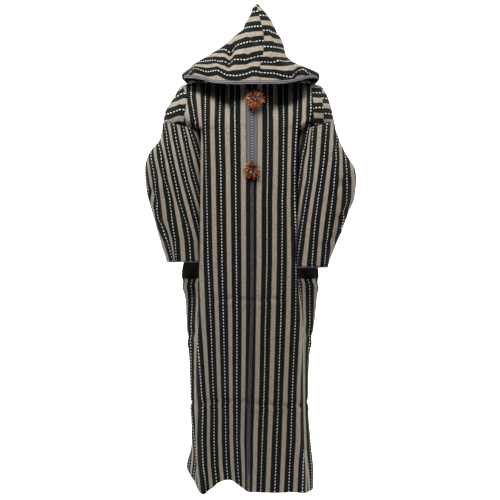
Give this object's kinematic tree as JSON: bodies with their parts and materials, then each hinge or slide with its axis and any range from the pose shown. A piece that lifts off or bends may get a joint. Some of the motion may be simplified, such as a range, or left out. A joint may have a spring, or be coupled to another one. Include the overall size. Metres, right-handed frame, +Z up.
{
  "type": "djellaba robe",
  "caption": "Long hooded robe in striped wool, worn form with no wearer, hood up, long sleeves, braided neck slit and yarn tassels.",
  "frame": {"origin": "base of the neck, between the shoulders, where the robe hangs on its wearer", "axes": "+Z up, -Y is the robe's front, +X is to the right of a viewer who faces the front"},
  "size_m": [0.7257, 0.3554, 1.6827],
  "materials": {
    "striped_wool": "heavy matt wool with dark green, beige and dashed white stripes",
    "braid": "flat grey violet braid",
    "cord": "thin light grey cord",
    "tassel_yarn": "orange, rust and cream wool yarn"
  },
  "bodies": {
    "root": {"front_left": "striped_wool", "front_right": "striped_wool", "back": "striped_wool", "gore_left": "striped_wool", "gore_right": "striped_wool", "sleeve_left": "striped_wool", "sleeve_right": "striped_wool", "hood_left": "striped_wool", "hood_right": "striped_wool", "hood_braid": "braid", "braid_left": "braid", "braid_right": "braid", "slit_cord": "cord", "cuff_cord_left": "cord", "cuff_cord_right": "cord", "tassel_upper": "tassel_yarn", "tassel_lower": "tassel_yarn"}
  },
  "joints": []
}
